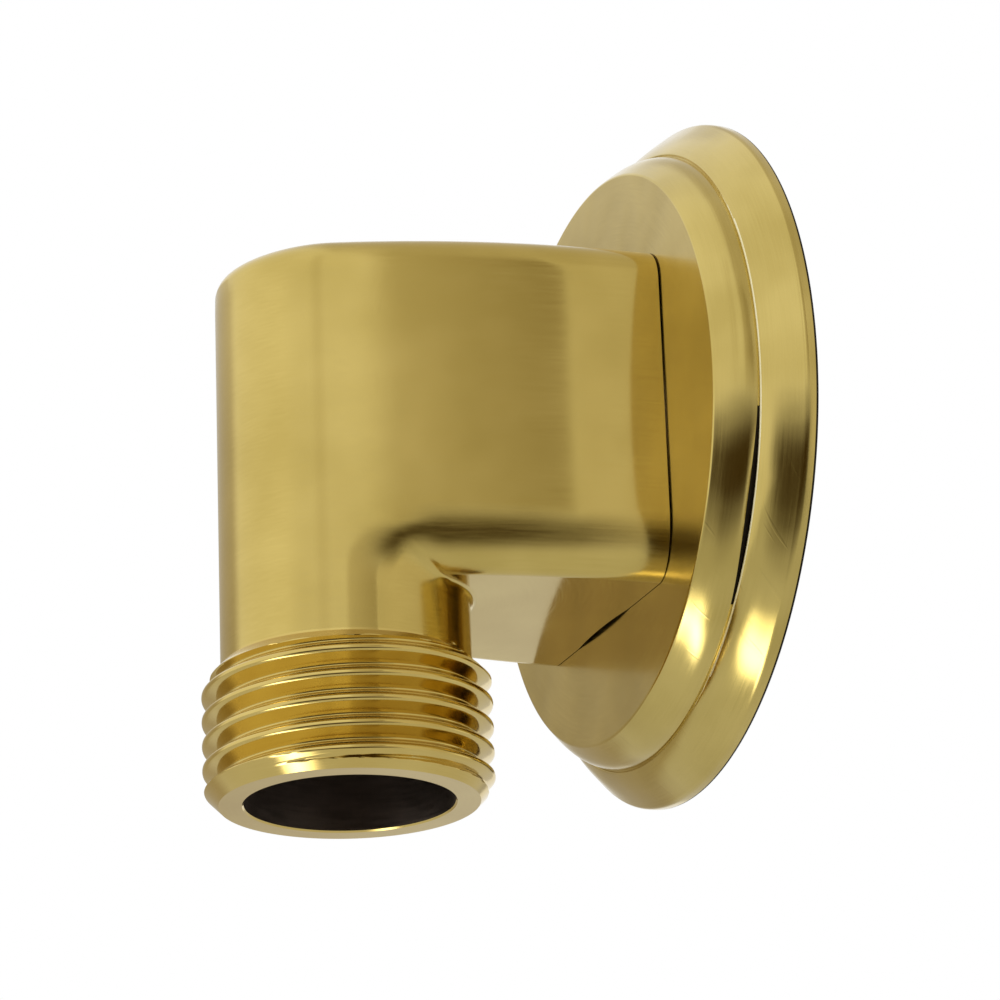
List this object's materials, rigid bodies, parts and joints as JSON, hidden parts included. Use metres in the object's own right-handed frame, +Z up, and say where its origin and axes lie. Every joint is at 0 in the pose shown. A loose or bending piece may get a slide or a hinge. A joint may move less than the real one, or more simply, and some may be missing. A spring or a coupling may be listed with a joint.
{
  "type": "wall outlet elbow",
  "caption": "Brushed brass wall elbow for a hand shower: a tapered block on a stepped round flange, with a pipe inlet at the back and a threaded hose outlet pointing down.",
  "frame": {"origin": "centre of the flange's back, in the plane of the wall and on the inlet axis", "axes": "+Y into the wall along the inlet, +Z up, with the hose outlet pointing down along -Z, and X across the wall"},
  "size_m": [0.0516, 0.0373, 0.0538],
  "materials": {
    "elbow_brass": "satin, brushed along the block, with a brighter machined outlet",
    "flange_brass": "satin, brushed in circles about the inlet axis"
  },
  "bodies": {
    "root": {"elbow_body": "elbow_brass", "wall_flange": "flange_brass"}
  },
  "joints": []
}
